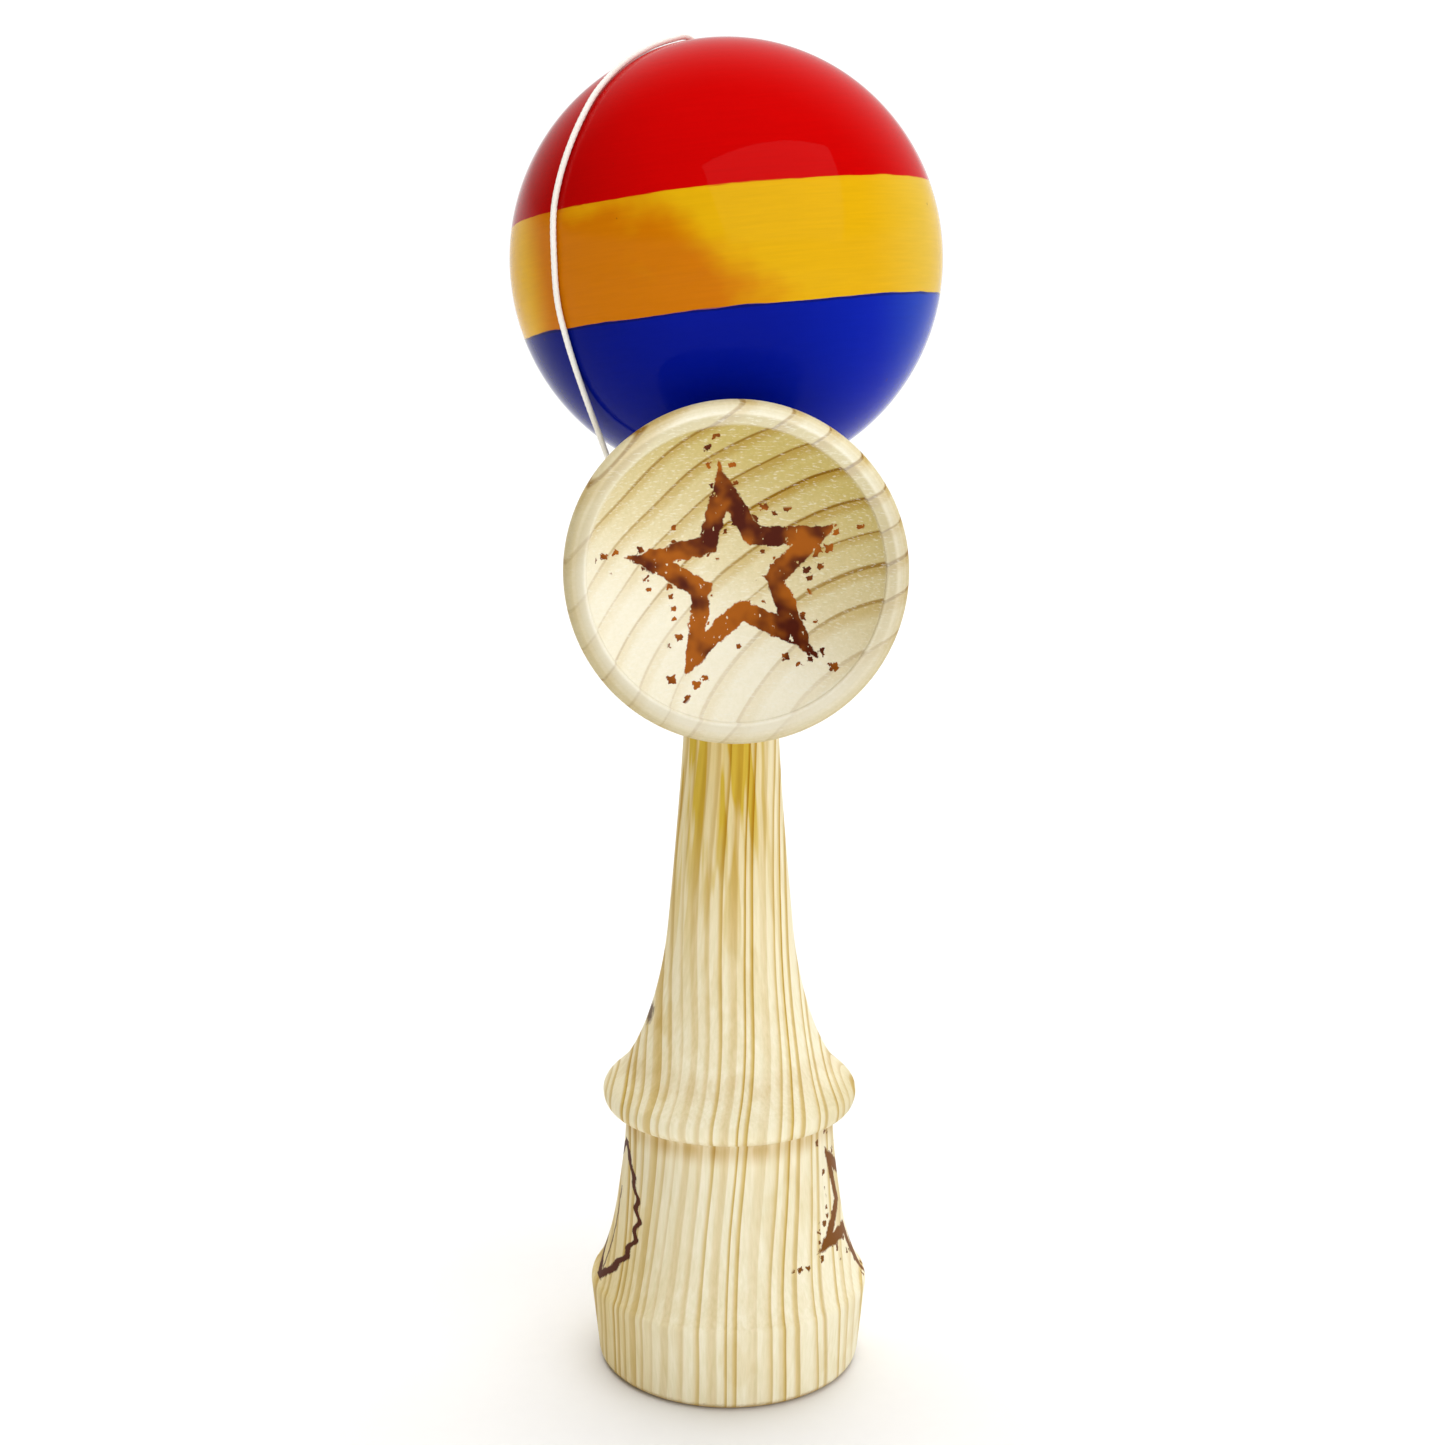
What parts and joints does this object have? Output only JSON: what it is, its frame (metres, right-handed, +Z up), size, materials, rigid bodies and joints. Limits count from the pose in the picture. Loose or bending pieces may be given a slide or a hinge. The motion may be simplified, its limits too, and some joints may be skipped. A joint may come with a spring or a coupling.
{
  "type": "kendama",
  "caption": "Wooden skill toy: turned handle with a spike and base cup, crosspiece with a big and a small cup, and a banded lacquered ball on a string, resting on the spike.",
  "frame": {"origin": "on the handle's axis, in the plane of the base rim that it stands on", "axes": "+Z up along the handle to the spike, -Y the way the big cup faces, +X the side where the string leaves the crosspiece"},
  "size_m": [0.06, 0.07, 0.1936],
  "materials": {
    "pale_wood": "bare sanded pale wood with brown growth lines",
    "banded_lacquer": "gloss clear lacquer over red, yellow and blue bands",
    "bead_wood": "satin",
    "white_string": "twisted white cord, matt"
  },
  "bodies": {
    "ken": {"ken": "pale_wood", "sarado": "pale_wood", "knot_ken": "white_string", "string_tail": "white_string", "string_winding": "white_string", "string_run_lower": "white_string"},
    "bead": {"bead": "bead_wood", "knot_bead": "white_string", "string_run_upper": "white_string"},
    "tama": {"tama": "banded_lacquer"}
  },
  "joints": [
    {"name": "tama_lift", "type": "slide", "parent": "ken", "child": "bead", "axis": [0, 0, 1], "range_m": [0, 0.05]},
    {"name": "tama_spin", "type": "hinge", "parent": "bead", "child": "tama", "pos_m": [-0.001, 0, 0.1633], "axis": [-0.1095, 0.0676, 0.9917], "continuous": true}
  ]
}
